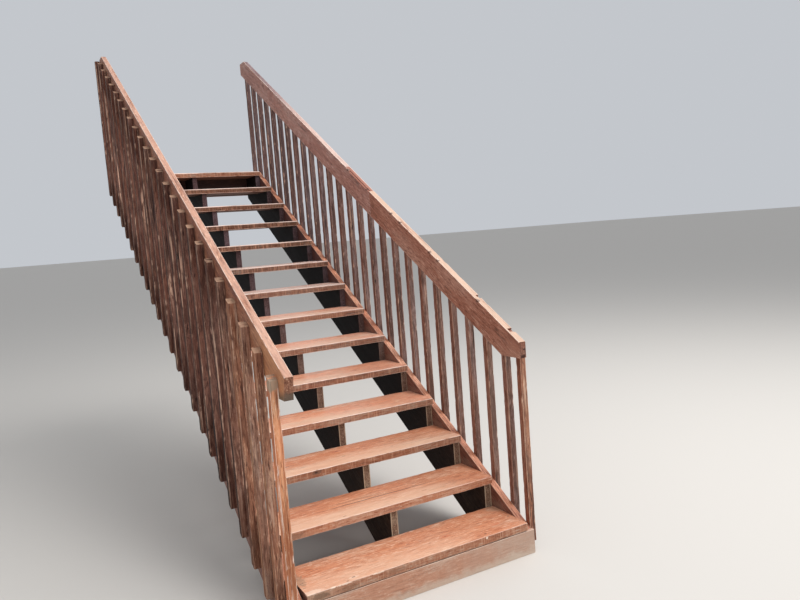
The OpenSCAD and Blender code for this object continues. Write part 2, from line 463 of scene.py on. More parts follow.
def makeMark():
    # a ragged spot round one place: knot, chip, bare patch, nail or crack
    tree, given, result = newGroup(
        "raggedMark",
        {"Vector": None, "Place": None, "Size": None, "Ragged": 0.5, "Bend": 0.0, "Share": 1.0},
        {"Mask": "Float"},
    )
    bend = times(tree, swingAt(tree, given["Vector"], *markShape["bend"]), given["Bend"])
    away = vectorCalc(tree, "SUBTRACT", given["Vector"], given["Place"])
    away = vectorCalc(tree, "ADD", away, join(tree, 0.0, bend, bend))
    away = vectorCalc(tree, "LENGTH", vectorCalc(tree, "DIVIDE", away, given["Size"]))
    rag = swingAt(tree, given["Vector"], *markShape["rag"])
    away = timesPlus(tree, rag, given["Ragged"], away)
    mask = times(tree, fade(tree, away, *markShape["rim"]), given["Share"])
    tree.links.new(mask, result["Mask"])
    return tree


grainGroup = makeGrain()
stainGroup = makeStain(grainGroup)
arrisGroup = makeArris()
markGroup = makeMark()
print("wood node groups built")


finish = {
    "facing": (0.5, 0.9),  # how squarely a face looks one way before it counts as that side
    "paintGaps": (0.30, 0.50),  # where the grain breaks up a paint on a face: worn wood, or a painted highlight
    "washWaves": (6, 20, 20),
    "bumpDepth": 0.0012,
    "markDip": -0.4,
    "sheenRough": 0.4,
    "postSeeds": 40.0,
    # from red-brown to grey-mauve: spread and base for red, green and blue
    "postHues": ((-0.08, 1.04), (0.08, 0.95), (0.24, 0.87)),
}
grainKeys = (
    "RingGap", "PithDepth", "Sway", "KnotShare", "Fine", "WornShare", "PaleShare", "DeepShare",
    "GreyShare", "RingShare", "DashShare", "CrackShare", "StreakShare", "Rough",
)
paintKeys = ("Stain", "Worn", "Pale", "Deep", "Grey")


def mapped(tree, vector, place, turn):
    # into the board's own axes
    node = tree.nodes.new("ShaderNodeMapping")
    node.vector_type = "TEXTURE"
    node.inputs["Location"].default_value = place
    node.inputs["Rotation"].default_value = [math.radians(a) for a in turn]
    tree.links.new(vector, node.inputs["Vector"])
    return node.outputs[0]


def within(tree, coordinates, mask, limits):
    # limits fade a mask in from the first place to the second on one axis
    for axis, low, high in limits:
        mask = times(tree, mask, fade(tree, split(tree, coordinates)[axis], low, high))
    return mask


def facing(tree, normal, way):
    side = vectorCalc(tree, "DOT_PRODUCT", normal, way)
    return fade(tree, side, *finish["facing"])


def pickPost(tree, coordinates, cells, seed):
    # one white noise for each baluster, from its place up the run
    step = minus(tree, split(tree, coordinates)[1], cells["start"])
    step = calc(tree, "FLOOR", calc(tree, "DIVIDE", step, cells["pitch"]))
    node = tree.nodes.new("ShaderNodeTexWhiteNoise")
    node.noise_dimensions = "1D"
    feed(tree, plus(tree, step, seed), node.inputs["W"])
    return node.outputs


def postShade(tree, post, vary):
    level = split(tree, post[1])
    shade = timesPlus(tree, level[0], vary, 1.0 - vary / 2)
    hues = [timesPlus(tree, level[1], spread, base) for spread, base in finish["postHues"]]
    return join(tree, *(times(tree, shade, hue) for hue in hues))


def boardMaterial(name, look, spot, turn, seed, faces=(), fades=(), marks=(), cells=None):
    # spot and turn say where the board lies: its own x runs along the grain
    material = bpy.data.materials.new(name)
    material.use_nodes = True
    tree = material.node_tree
    shader = tree.nodes["Principled BSDF"]
    coordinates = tree.nodes.new("ShaderNodeTexCoord").outputs["Object"]
    geometry = tree.nodes.new("ShaderNodeNewGeometry")
    along = mapped(tree, coordinates, spot, turn)
    normal = mapped(tree, geometry.outputs["True Normal"], (0, 0, 0), turn)

    grainSeed = seed
    if cells:
        post = pickPost(tree, coordinates, cells, seed)
        grainSeed = timesPlus(tree, post[0], finish["postSeeds"], seed)
    made = useGroup(
        tree, stainGroup, Vector=along, Seed=grainSeed,
        **{label: look[label] for label in grainKeys},
        **{label: full(look[label]) for label in paintKeys},
    )
    colour = made["Color"]
    if cells:
        colour = mixColour(tree, 1.0, colour, postShade(tree, post, cells["vary"]), "MULTIPLY")

    for wash in fades:
        value = split(tree, coordinates)[wash["axis"]]
        rag = swingAt(tree, along, wash.get("waves", finish["washWaves"]), 4.0, 0.6)
        value = timesPlus(tree, rag, wash["ragged"], value)
        mask = times(tree, fade(tree, value, wash["low"], wash["high"]), wash["share"])
        mask = within(tree, coordinates, mask, wash.get("limits", ()))
        if "way" in wash:
            mask = times(tree, mask, facing(tree, normal, wash["way"]))
        colour = mixColour(tree, mask, colour, full(wash["colour"]), wash.get("blend", "MIX"))

    for face in faces:
        mask = times(tree, facing(tree, normal, face["way"]), face.get("share", 1.0))
        mask = within(tree, coordinates, mask, face.get("limits", ()))
        if "paint" in face:
            broken = made["Saw"] if face.get("sawn") else made["Streak"]
            broken = fade(tree, broken, *face.get("gaps", finish["paintGaps"]))
            mask = times(tree, mask, broken)
            colour = mixColour(tree, mask, colour, full(face["paint"]))
        else:
            colour = mixColour(tree, mask, colour, (*face["tint"], 1.0), "MULTIPLY")

    # the eased arrises in the Arris colour: worn wood and a painted highlight
    arris = useGroup(
        tree, arrisGroup, Vector=along, Normal=normal, Seed=grainSeed, Share=look["ArrisShare"]
    )
    colour = mixColour(tree, arris["Mask"], colour, full(look["Arris"]))

    height = made["Height"]
    for spotted in marks:
        found = useGroup(
            tree, markGroup, Vector=coordinates, Place=spotted["place"], Size=spotted["size"],
            Ragged=spotted.get("ragged", 0.6), Bend=spotted.get("bend", 0.0), Share=spotted["share"],
        )
        colour = mixColour(tree, found["Mask"], colour, full(spotted["colour"]))
        lift = spotted.get("lift", finish["markDip"])
        height = timesPlus(tree, found["Mask"], lift, height)

    bump = tree.nodes.new("ShaderNodeBump")
    bump.inputs["Strength"].default_value = look["Bump"]
    bump.inputs["Distance"].default_value = finish["bumpDepth"]
    tree.links.new(height, bump.inputs["Height"])
    tree.links.new(colour, shader.inputs["Base Color"])
    tree.links.new(made["Roughness"], shader.inputs["Roughness"])
    tree.links.new(bump.outputs[0], shader.inputs["Normal"])
    shader.inputs["Specular IOR Level"].default_value = look.get("Gloss", 0.5)
    shader.inputs["Sheen Weight"].default_value = look["Sheen"]
    shader.inputs["Sheen Roughness"].default_value = finish["sheenRough"]
    return material


def dress(piece, material):
    piece.data.materials.clear()
    piece.data.materials.append(material)


def stand(piece, name, nodes):
    # a finished piece takes the place of CAD nodes on the one body
    piece.name = name
    piece.data.name = name
    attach(piece, "root")
    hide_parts(*nodes)


# weathered boards: an eased bar, cut into stations, with chipped arrises and raised grain

def pickOnly(piece):
    bpy.ops.object.select_all(action="DESELECT")
    piece.select_set(True)
    bpy.context.view_layer.objects.active = piece


def pickEdges(bar, test):
    bpy.ops.mesh.select_all(action="DESELECT")
    mesh = bmesh.from_edit_mesh(bar.data)
    for edge in mesh.edges:
        if test(edge.verts[0].co, edge.verts[1].co):
            edge.select_set(True)
    bmesh.update_edit_mesh(bar.data)


nearly = 0.99


def runsAlong(axis):
    def test(a, b):
        way = b - a
        return abs(way[axis]) > nearly * way.length
    return test


def startBar(size, cuts, ease):
    bpy.ops.object.select_all(action="DESELECT")
    bpy.ops.mesh.primitive_cube_add(size=1.0)
    bar = bpy.context.object
    bar.scale = size
    bpy.ops.object.transform_apply(location=False, rotation=False, scale=True)
    bpy.ops.object.mode_set(mode="EDIT")
    bpy.ops.mesh.select_mode(type="EDGE")
    pickEdges(bar, runsAlong(1))
    bpy.ops.mesh.subdivide(number_cuts=cuts["across"])
    pickEdges(bar, runsAlong(2))
    bpy.ops.mesh.subdivide(number_cuts=cuts["through"])
    outer = Vector(size) / 2 * nearly
    alongX = runsAlong(0)
    pickEdges(bar, lambda a, b: alongX(a, b) and abs(a.y) > outer.y and abs(a.z) > outer.z)
    bpy.ops.mesh.bevel(offset=ease, segments=3, profile=0.5)
    pickEdges(bar, alongX)
    bpy.ops.mesh.subdivide(number_cuts=cuts["along"])
    bpy.ops.object.mode_set(mode="OBJECT")
    return bar


def copyBar(bar):
    twin = bar.copy()
    twin.data = bar.data.copy()
    bpy.context.scene.collection.objects.link(twin)
    return twin


# waves per metre of each kind of wear; rows keep the four arrises of a board apart
wearWaves = {"chip": 32.0, "chipFrom": 0.22, "grain": 5.0, "split": 2.0, "splitLines": 90.0}
wearRows = {"y": 3.0, "z": 7.0, "slow": 0.3, "chip": 4.7}


def weather(bar, size, wear, seed, dents=()):
    # everything is rubbed inwards, so the board stays within its sawn size
    half = Vector(size) / 2
    lines, splitLines = wear["lines"], wearWaves["splitLines"]
    normals = [vertex.normal.copy() for vertex in bar.data.vertices]
    for vertex, normal in zip(bar.data.vertices, normals):
        x, y, z = vertex.co
        away = max(half.y - abs(y), half.z - abs(z))
        corner = max(0.0, 1.0 - away / wear["reach"])
        row = seed + (wearRows["y"] if y > 0 else 0.0) + (wearRows["z"] if z > 0 else 0.0)
        slow = 0.5 + 0.5 * noise.noise((x * wear["waves"], row, wearRows["slow"]))
        chip = noise.noise((x * wearWaves["chip"], row, wearRows["chip"]))
        chip = max(0.0, chip - wearWaves["chipFrom"])
        grain = 0.5 + 0.5 * noise.noise((x * wearWaves["grain"], y * lines + seed, z * lines))
        split = noise.noise((x * wearWaves["split"], y * splitLines + seed * 2.0, z * splitLines))
        split = max(0.0, split - wear["splitFrom"])
        rub = corner * (wear["rub"] * slow + wear["chip"] * chip)
        for dent in dents:
            if y * dent["up"] > 0 and z * dent["side"] > 0:
                rub += corner * dent["deep"] * max(0.0, 1.0 - abs(x - dent["x"]) / dent["reach"])
        vertex.co -= normal * (rub + wear["grain"] * grain + wear["split"] * split)


smoothBelow = 13  # degrees


def smooth(piece):
    # eased arrises keep their facets, so that the flat faces stay flat
    pickOnly(piece)
    bpy.ops.object.shade_smooth_by_angle(angle=math.radians(smoothBelow))


cutSnap = 0.0000001  # so small that the cut never leaves a gap beside a corner


def cutOff(piece, point, way):
    # cuts away what lies past the plane and closes the end
    pickOnly(piece)
    bpy.ops.object.mode_set(mode="EDIT")
    bpy.ops.mesh.select_all(action="SELECT")
    bpy.ops.mesh.bisect(plane_co=point, plane_no=way, clear_outer=True, threshold=cutSnap)
    bpy.ops.mesh.select_all(action="SELECT")
    bpy.ops.mesh.fill_holes(sides=0)
    bpy.ops.mesh.select_all(action="SELECT")
    bpy.ops.mesh.normals_make_consistent(inside=False)
    bpy.ops.object.mode_set(mode="OBJECT")


def joinAll(pieces):
    bpy.ops.object.select_all(action="DESELECT")
    for piece in pieces:
        piece.select_set(True)
    bpy.context.view_layer.objects.active = pieces[0]
    bpy.ops.object.join()
    return bpy.context.object


spareLength = 0.02  # a board starts this much too long, and its cuts bring it to length
cutSlack = 0.0002


def spanOf(points, axis):
    places = [axis.dot(point) for point in points]
    return min(places), max(places)


def boardLike(node, along, wear, seed, dents=()):
    # a weathered board of a CAD board's size and place, its ends cut by the same planes
    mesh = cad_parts[node].data
    corners = [v.co for v in mesh.vertices]
    upward = Vector((0, 0, 1)) if abs(along.x) > 0.5 else Vector((1, 0, 0)).cross(along)
    axes = (along, upward, along.cross(upward))
    spans = [spanOf(corners, axis) for axis in axes]
    size = Vector(high - low for low, high in spans)
    middle = sum((axis * (low + high) / 2 for axis, (low, high) in zip(axes, spans)), Vector())
    size.x += spareLength
    cuts = dict(wear["cuts"], along=int(size.x / wear["gap"]))
    bar = startBar(size, cuts, wear["ease"])
    local = [dict(dent, x=along.dot(dent["place"] - middle)) for dent in dents]
    weather(bar, size, wear, seed, local)
    turn = Matrix(axes).transposed().to_4x4()
    bar.data.transform(Matrix.Translation(middle) @ turn)
    done = []
    for face in mesh.polygons:
        normal = face.normal
        if abs(normal.dot(along)) < 0.05 or any(normal.dot(other) > 0.999 for other in done):
            continue
        if normal.dot(face.center) > spanOf(corners, normal)[1] - cutSlack:
            cutOff(bar, face.center, normal)
            done.append(normal.copy())
    return bar


# how paint and wear are asked for: way is a side in the board's own axes

treadSides = {
    "front": (0, -1, 0), "back": (0, 1, 0), "top": (0, 0, 1), "under": (0, 0, -1), "end": (-1, 0, 0),
}
crossSides = {"front": (0, 0, 1), "back": (0, 0, -1)}  # riser and header
slopeSides = {"top": (0, 1, 0), "under": (0, -1, 0), "left": (0, 0, -1), "right": (0, 0, 1)}
postSides = {"head": (1, 0, 0), "front": (0, -1, 0), "left": (0, 0, 1)}


def tinted(way, *tint, limits=()):
    return {"way": way, "tint": tint, "limits": limits}


def painted(way, paint, share, **more):
    return dict(way=way, paint=paint, share=share, **more)


def washed(axis, low, high, colour, share, ragged=0.0, **more):
    # colour that grows from low to high on one axis of the flight
    return dict(axis=axis, low=low, high=high, colour=colour, share=share, ragged=ragged, **more)


def shaded(low, high, colour, ragged=0.0, **more):
    # what gets less light up the flight, between two places in millimetres
    return washed(*spanY(low, high), colour, 1.0, ragged, blend="MULTIPLY", **more)


def mark(x, y, z, half, colour, share=0.8, **more):
    # a spot on the flight, everything in millimetres from the front left corner
    size = [h / 1000 for h in half]
    return dict(place=fromCorner(x, y, z), size=size, colour=colour, share=share, **more)


# treads

treadLook = {
    "Stain": (208, 132, 94), "Worn": (224, 156, 118), "Pale": (240, 202, 174), "Deep": (160, 90, 60),
    "Grey": (190, 152, 128), "Arris": (255, 236, 222),
    "RingGap": 0.009, "PithDepth": 0.11, "Sway": 0.06, "KnotShare": 0.0, "Fine": 1.0,
    "WornShare": 0.7, "PaleShare": 0.4, "DeepShare": 0.6, "GreyShare": 0.3, "RingShare": 0.2,
    "DashShare": 0.65, "CrackShare": 0.0, "StreakShare": 0.4, "Rough": 0.45, "ArrisShare": 1.0,
    "Bump": 0.9, "Sheen": 0.1,
}
# more orange stain further up the flight, partly painted light where the tops catch more of the sky
orangeLitLook = dict(
    treadLook, Stain=(230, 144, 102), Worn=(246, 170, 128), Pale=(252, 214, 184), Sheen=0.25,
)
# paler still: a painted reflection of the sky on the highest tops that show, seen at a grazing angle
upperHighlightLook = dict(orangeLitLook, Stain=(248, 166, 126), Worn=(252, 186, 150), Pale=(255, 224, 200))
treadWear = {
    "reach": 0.007, "rub": 0.0005, "chip": 0.0042, "grain": 0.0004, "lines": 160.0,
    "split": 0.0, "splitFrom": 1.0, "ease": 0.003, "waves": 3.0,
    "cuts": {"across": 13, "through": 2, "along": 95},
}
# how dark each nosing is, from the bottom up: its darker stain, with painted shade that deepens up the
# flight
noseStainAndShade = (0.60, 0.78, 0.51, 0.46, 0.36, 0.33, 0.35, 0.26, 0.21, 0.19, 0.14, 0.17, 0.17, 0.36)
# the bare strip behind the nosing: how deep it is, and in millimetres how far along it reaches
bareDepth = (0.19, 0.02)
bareBlur = 330
bareEnd = (640, 760, 900, 700, 700, 800, 900, 900, 900, 900, 900, 900, 900, 900)

knotBrown = (112, 60, 42)
resin = (204, 118, 80)
bareWood = (246, 222, 200)
nailIron = (58, 46, 42)


treadMarks = {
    0: [
        mark(18, 150, 160, (30, 80, 20), (146, 122, 98), 0.5, ragged=3.0),
        mark(30, 14, 160, (60, 18, 12), bareWood, 0.5, ragged=1.4),
        mark(118, 2, 158, (16, 5, 5), bareWood, 0.9, ragged=1.4, lift=0.2),
        mark(224, 29, 160, (30, 9, 12), bareWood, 0.4, ragged=1.2),
        # splashed nosing at the left
        mark(60, 0, 140, (44, 8, 16), (104, 80, 60), 0.6, ragged=2.5),
        mark(190, 0, 136, (60, 8, 12), (126, 92, 68), 0.5, ragged=2.5),
        mark(170, 0, 157, (46, 6, 4), bareWood, 0.7, ragged=2.5),
        mark(330, 0, 157, (30, 6, 4), bareWood, 0.6, ragged=2.5),
        mark(420, 0, 140, (70, 8, 10), (134, 92, 68), 0.5, ragged=2.5),
        mark(224, 30, 160, (11, 4, 8), knotBrown, 0.9),
        mark(189, 13, 160, (7, 4, 8), knotBrown, 0.8),
        mark(567, 161, 160, (13, 4, 8), (140, 76, 54)),
        mark(654, 107, 160, (9, 3, 8), (150, 84, 60)),
        mark(749, 123, 160, (38, 14, 12), resin, 0.6, ragged=1.2),
        mark(749, 123, 160, (9, 4, 8), (140, 74, 50), 0.7),
        mark(1015, 89, 160, (34, 15, 12), resin, 0.6, ragged=1.2),
        mark(1122, 126, 160, (9, 5, 8), knotBrown, 0.85),
        mark(913, 27, 160, (9, 5, 8), knotBrown, 0.9),
        mark(902, 0, 152, (7, 5, 7), bareWood, 0.9),
        mark(1140, 250, 160, (80, 50, 20), (192, 154, 126), 0.5, ragged=1.4),
        mark(17, 162, 160, (3, 3, 8), nailIron, 0.9, ragged=0.2),
        mark(15, 109, 160, (3, 3, 8), nailIron, 0.9, ragged=0.2),
        mark(25, 114, 160, (3, 3, 8), nailIron, 0.9, ragged=0.2),
    ],
    1: [
        mark(578, 414, 320, (372, 3.4, 30), (70, 32, 22), 1.0, ragged=0.4, bend=0.018),
        mark(430, 446, 320, (160, 2.2, 30), (110, 58, 42), 0.7, ragged=0.7, bend=0.012),
        mark(690, 470, 320, (120, 2.2, 30), (120, 64, 46), 0.6, ragged=0.7, bend=0.012),
        mark(318, 291, 320, (11, 3, 8), knotBrown),
        mark(60, 270, 300, (50, 8, 14), (128, 90, 68), 0.5, ragged=2.5),
        mark(560, 270, 298, (70, 8, 8), (146, 96, 74), 0.5, ragged=2.5),
        mark(773, 335, 320, (20, 6, 8), (186, 112, 82), 0.6),
    ],
    2: [
        mark(495, 753, 480, (34, 12, 12), (184, 102, 76), 0.7, ragged=1.2),
        mark(495, 753, 480, (12, 5, 8), (150, 80, 60), 0.7),
        mark(491, 651, 480, (13, 4, 8), knotBrown, 0.85),
        mark(763, 629, 480, (8, 4, 8), (130, 74, 56)),
        mark(296, 540, 468, (32, 20, 13), (118, 84, 66), 0.8, ragged=1.2),
        mark(292, 540, 468, (10, 10, 6), (66, 46, 38), 0.9),
        mark(880, 610, 480, (200, 2.2, 30), (150, 86, 64), 0.6, ragged=0.7, bend=0.015),
    ],
    3: [
        mark(405, 965, 640, (20, 7, 8), (146, 82, 60)),
        mark(640, 900, 640, (150, 2.2, 30), (150, 88, 66), 0.6, ragged=0.7, bend=0.015),
    ],
    5: [
        mark(x, y, 960, (26, 4, 8), (96, 52, 40), 0.9, ragged=1.2)
        for x, y in ((760, 1560), (860, 1582), (930, 1566), (1000, 1586), (1050, 1574))
    ],
}


def treadFaces(k, high):
    tone = noseStainAndShade[k]
    front = treadSides["front"]
    return [
        # the nosing darkened by its stain and by painted shade
        tinted(front, tone, tone * 1.04, tone * 1.08),
        # upright lines left by the saw
        painted(front, (206, 158, 130), 0.45, sawn=True, gaps=(0.50, 0.62)),
        painted(front, (178, 154, 132), 0.5, limits=[spanX(220, 20)]),
        # painted highlight: a near-white line of sky under the top edge, the more of it the higher the
        # tread
        painted(front, (255, 228, 216), max(0.0, min(0.95, 0.15 * (k - 3))), gaps=(0.30, 0.55),
                limits=[(2, high.z - 0.008, high.z - 0.005)]),
        # painted shade: undersides near black on the upper treads and darker below, backs darker; the
        # left end grain is dark and painted shade as well
        tinted(treadSides["under"], *((0.16, 0.14, 0.14) if k > 6 else (0.40, 0.36, 0.35))),
        tinted(treadSides["back"], 0.60, 0.55, 0.52),
        tinted(treadSides["end"], 0.2, 0.18, 0.18),
    ]


def treadFinish(k):
    # the upper treads get paler, lit colours and a stronger painted highlight on the arris, and the
    # highest show only fronts and undersides
    look = dict(treadLook if k < 3 else orangeLitLook if k < 5 else upperHighlightLook)
    look.update(Rough=0.45 - 0.015 * k, ArrisShare=min(1.0, 0.35 + 0.2 * k))
    if k > 1:
        look["CrackShare"] = 0.6
    if k < 3:
        look["Gloss"] = 0.3
    if k > 6:
        look["Sheen"] = 0.7
    if k > 8:
        look.update(Sheen=0.0, Gloss=0.15, Rough=0.6)
    return look


treadSize = firstTread[1] - firstTread[0]
treadBlank = startBar(treadSize, treadWear["cuts"], treadWear["ease"])
for k in range(treadCount + 1):
    node = "top_board" if k == treadCount else f"tread_{k + 1:02d}"
    low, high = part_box(node)
    tread = copyBar(treadBlank)
    weather(tread, treadSize, treadWear, 3.1 + 1.7 * k)
    tread.data.transform(Matrix.Translation((low + high) / 2))
    smooth(tread)
    # trodden bare towards the nosing
    bare = washed(
        1, *(low.y + deep for deep in bareDepth), (238, 198, 168), 0.65 if k else 0.45, 0.3,
        waves=(4, 20, 20), way=treadSides["top"], limits=[spanX(bareEnd[k] + bareBlur, bareEnd[k])],
    )
    dress(tread, boardMaterial(
        f"treadWood{k + 1:02d}", treadFinish(k), (0.0, low.y, high.z), (0, 0, 0), 3.7 + 2.3 * k,
        treadFaces(k, high), [bare], treadMarks.get(k, ()),
    ))
    stand(tread, "topBoard" if k == treadCount else f"tread{k + 1:02d}", [node])
bpy.data.objects.remove(treadBlank)
print("treads made")


# stringers, skirts, riser and header

def slopeWay(tilt):
    return Vector((0, math.cos(math.radians(tilt)), math.sin(math.radians(tilt))))


def slopePlace(low, high, foot, tilt):
    # where a sloping board lies, and how its grain turns
    return ((low.x + high.x) / 2, low.y, foot), (90, -tilt, 90)


boardWear = dict(treadWear, gap=0.016, cuts={"across": 5, "through": 2}, chip=0.006)

stringerLook = dict(
    treadLook, Stain=(124, 98, 80), Worn=(150, 124, 102), Pale=(180, 158, 134), Deep=(76, 56, 46),
    Grey=(148, 132, 114), Arris=(180, 154, 136), ArrisShare=0.5, GreyShare=0.6, Rough=0.7, Sheen=0.0,
    Gloss=0.15,
)
stringerShadeSides = [
    # painted shade on the stringers' sides, deepest on the left sides and deeper up the flight
    tinted(slopeSides["right"], 0.45, 0.40, 0.38),
    tinted(slopeSides["left"], 0.21, 0.17, 0.16),
    tinted(slopeSides["left"], 0.25, 0.20, 0.22, limits=[spanY(250, 1300)]),
]
turnedBy = math.radians(flightTilt)
riserWay = (-math.cos(turnedBy), math.sin(turnedBy), 0)
arrisEdge = (0.006, 0.003)
arrisPale = {
    "colour": (200, 180, 154), "share": 0.8, "ragged": 0.012, "way": riserWay, "waves": (30, 30, 60),
    "limits": [spanY(1500, 500)],
}
for side in ("left", "middle", "right"):
    node = "stringer_" + side
    low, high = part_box(node)
    # light arrises down the riser cuts
    arrises = [
        washed(0, *(edge + inward * deep for deep in arrisEdge), **arrisPale)
        for edge, inward in ((low.x, 1), (high.x, -1))
    ]
    dress(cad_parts[node], boardMaterial(
        node + "Wood", stringerLook, *slopePlace(low, high, groundLevel, flightTilt),
        len(side) * 3.1, stringerShadeSides, [shaded(400, 2200, (166, 168, 208)), *arrises],
    ))

skirtLook = dict(
    treadLook, Stain=(160, 100, 74), Worn=(190, 134, 106), Pale=(214, 166, 140), Deep=(96, 54, 38),
    Grey=(150, 112, 92), Arris=(226, 184, 158), ArrisShare=0.8, Rough=0.62, DashShare=0.7,
    StreakShare=0.6, Sheen=0.1,
)
skirtShadeAndLightSides = [
    # painted shade on both faces of the skirts and painted light on their top edges
    tinted(slopeSides["right"], 0.55, 0.48, 0.48),
    tinted(slopeSides["left"], 0.55, 0.48, 0.48),
    tinted(slopeSides["top"], 1.35, 1.28, 1.2),
]
# dirt behind the lower treads, in millimetres from each nosing
dirt = {"treads": 7, "back": 235, "up": 176, "half": (12, 70, 26), "colour": (138, 112, 94)}
for side, inside, inward in (("left", 0, "right"), ("right", treadLength, "left")):
    node = "skirt_" + side
    low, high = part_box(node)
    skirt = boardLike(node, slopeWay(flightTilt), boardWear, 12.0 + len(side))
    smooth(skirt)
    corners = [
        mark(inside, stepRun * k + dirt["back"], stepRise * k + dirt["up"], dirt["half"],
             dirt["colour"], 0.45, ragged=3.0)
        for k in range(dirt["treads"])
    ]
    dress(skirt, boardMaterial(
        node + "Wood", skirtLook, *slopePlace(low, high, groundLevel, flightTilt), 11.0 + len(side),
        skirtShadeAndLightSides, [shaded(1200, 2500, (160, 136, 142), 0.1, way=slopeSides[inward])], corners,
    ))
    stand(skirt, "skirt" + side.title(), [node])

riserLook = dict(
    skirtLook, Stain=(186, 132, 104), Worn=(200, 150, 124), Pale=(214, 178, 154), Grey=(188, 164, 146),
    Deep=(150, 102, 78), GreyShare=0.5, RingShare=0.1, DashShare=0.3, StreakShare=0.4, DeepShare=0.25,
    Arris=(238, 214, 194),
)
riserWear = dict(boardWear, ease=0.002, reach=0.006, chip=0.003)
low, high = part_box("bottom_riser")
riser = boardLike("bottom_riser", Vector((1, 0, 0)), riserWear, 23.0)
smooth(riser)
dress(riser, boardMaterial(
    "riserWood", riserLook, (0.0, low.y, high.z), (90, 0, 0), 21.0,
    fades=[
        # greyer towards the right, dusty near the ground
        washed(0, -0.1, 0.7, (184, 156, 138), 0.75, 0.6, waves=(14, 3, 3)),
        washed(2, low.z + 0.05, low.z + 0.005, (206, 190, 172), 0.6, 0.09, waves=(16, 16, 16)),
    ],
))
stand(riser, "bottomRiser", ["bottom_riser"])

low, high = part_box("top_header")
dress(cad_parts["top_header"], boardMaterial(
    "headerWood", skirtLook, (0.0, low.y, high.z), (90, 0, 0), 25.0,
    # painted shade: the front face near black, the back darker
    [tinted(crossSides["front"], 0.10, 0.07, 0.08), tinted(crossSides["back"], 0.55, 0.50, 0.48)],
))
print("carrying boards dressed")


# rails

railLook = dict(
    treadLook, Stain=(164, 108, 86), Worn=(186, 132, 110), Pale=(214, 170, 148), Deep=(98, 58, 46),
    Grey=(158, 128, 114), RingGap=0.008, PithDepth=0.09, Arris=(252, 226, 208), ArrisShare=1.0,
    DeepShare=0.8, DashShare=0.6, StreakShare=0.35, CrackShare=0.5, Rough=0.58, Sheen=0.1, Gloss=0.25,
)
leftLook = dict(
    railLook, Stain=(160, 102, 74), Worn=(188, 130, 98), Pale=(222, 176, 144), Deep=(96, 56, 40),
    StreakShare=0.6, DashShare=0.9,
)
# the upper right board has weathered to mauve
mauveLook = dict(
    railLook, Stain=(168, 118, 104), Worn=(190, 146, 132), Pale=(214, 182, 170), Deep=(104, 70, 62),
    Grey=(164, 142, 134),
)
# top and its share are a painted highlight on each rail's top face, the sky's sheen at a grazing angle
railPlan = {
    "rail_left": {
        "tilt": 29.42, "seed": 31.0, "look": leftLook, "top": (222, 180, 160), "topHighlightShare": 0.45,
        # painted shade: the end cut a cool shade, the outer face a warm shade that deepens past its
        # first 260 mm
        "end": (0.72, 0.72, 0.76),
        "more": [
            tinted(slopeSides["left"], 0.95, 0.84, 0.74),
            tinted(slopeSides["left"], 0.82, 0.76, 0.74, limits=[spanY(80, 260)]),
        ],
    },
    "rail_right_lower": {
        "tilt": 30.20, "seed": 34.0, "look": railLook, "top": (214, 184, 160), "topHighlightShare": 0.7,
    },
    "rail_right_upper": {
        "tilt": 30.74, "seed": 39.0, "look": mauveLook, "top": (214, 188, 176), "topHighlightShare": 0.7,
        "limits": [spanY(3500, 2000)],
        "more": [
            # the outer half before the planed strip's end, and the greyer upper run
            painted(slopeSides["top"], (150, 90, 70), 0.9, gaps=(0.2, 0.4),
                    limits=[spanY(1740, 1720), spanX(1177, 1170)]),
            tinted(slopeSides["top"], 0.50, 0.56, 0.68, limits=[spanY(2300, 3300)]),
        ],
    },
}
railShade = {"under": (0.35, 0.30, 0.30), "foot": (0.30, 0.26, 0.26), "end": (0.62, 0.56, 0.54)}
# the right rail's top edge over the nosing line, in millimetres
rightRail = {"foot": 899, "fall": 15, "joint": 1408, "lift": 5, "beyond": 2426}
# places up the right rail, in millimetres, of splinters out of its inner top arris
splinters = (300, 653, 735, 1045, 1147, 1442, 1698)
# height up the rail and place across it where each notch in its outer arris begins
notches = ((50, 1151), (310, 1162))
notchSize = (0.04, 0.031, 0.03)
notchDepth = 0.011
planed = {"size": (0.03, 0.33, 0.03), "start": (-0.018, -0.015, -0.006)}
splinterDent = {"side": -1, "up": 1, "deep": 0.006, "reach": 0.022}
# painted shadow over the lower end of the right rail
endShadow = (66, 36, 28)


def rightRailTop(y):
    # height over the ground of the right rail's top edge, in millimetres
    nosingLine = stepRise * (1 + y / stepRun)
    if y < rightRail["joint"]:
        return nosingLine + rightRail["foot"] - rightRail["fall"] * y / rightRail["joint"]
    past = (y - rightRail["joint"]) / rightRail["beyond"]
    return nosingLine + rightRail["foot"] - rightRail["fall"] + rightRail["lift"] * past


def carve(piece, corner, size, start):
    # takes a small turned block out of the board; start is where the block begins
    bpy.ops.object.select_all(action="DESELECT")
    bpy.ops.mesh.primitive_cube_add(size=1.0)
    block = bpy.context.object
    block.scale = size
    bpy.ops.object.transform_apply(location=False, rotation=False, scale=True)
    block.data.transform(Matrix.Translation(Vector(start) + Vector(size) / 2))
    block.data.transform(Matrix.Translation(corner) @ Matrix.Rotation(math.radians(flightTilt), 4, "X"))
    pickOnly(piece)
    cut = piece.modifiers.new("carve", "BOOLEAN")
    cut.object = block
    cut.operation = "DIFFERENCE"
    cut.solver = "MANIFOLD"
    bpy.ops.object.modifier_apply(modifier=cut.name)
    bpy.data.objects.remove(block)


